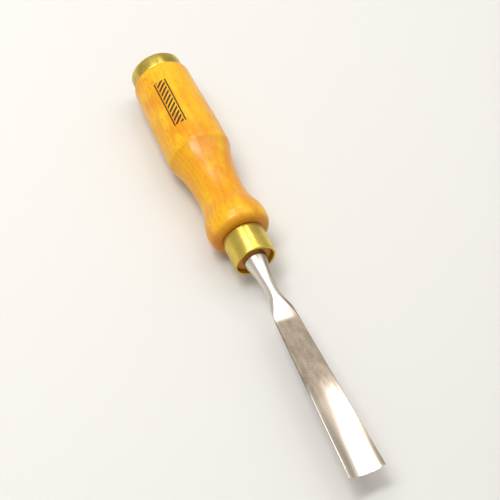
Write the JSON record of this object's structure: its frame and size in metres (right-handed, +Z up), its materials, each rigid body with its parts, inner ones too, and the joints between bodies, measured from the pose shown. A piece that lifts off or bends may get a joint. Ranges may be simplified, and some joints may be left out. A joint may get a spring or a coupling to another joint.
{
  "type": "straight carving gouge",
  "caption": "Straight carving gouge: a forged steel blade with a hollow flared end, in a turned beech handle with a brass ferrule and a brass striking hoop at the butt",
  "frame": {"origin": "on the surface the tool lies on, under the middle of its length", "axes": "+Y runs along the tool from the cutting edge to the struck butt, +Z is up and faces out of the blade's hollow, +X runs across the blade"},
  "size_m": [0.03, 0.2284, 0.03],
  "materials": {
    "steel": "forged steel, ground and polished bright, finely brushed across the heel of the blade",
    "beech": "turned beech with fine short flecks under a glossy amber lacquer",
    "brass": "turned brass under lacquer, softly polished"
  },
  "bodies": {
    "root": {"blade": "steel", "handle": "beech", "ferrule": "brass", "striking_hoop": "brass"}
  },
  "joints": []
}
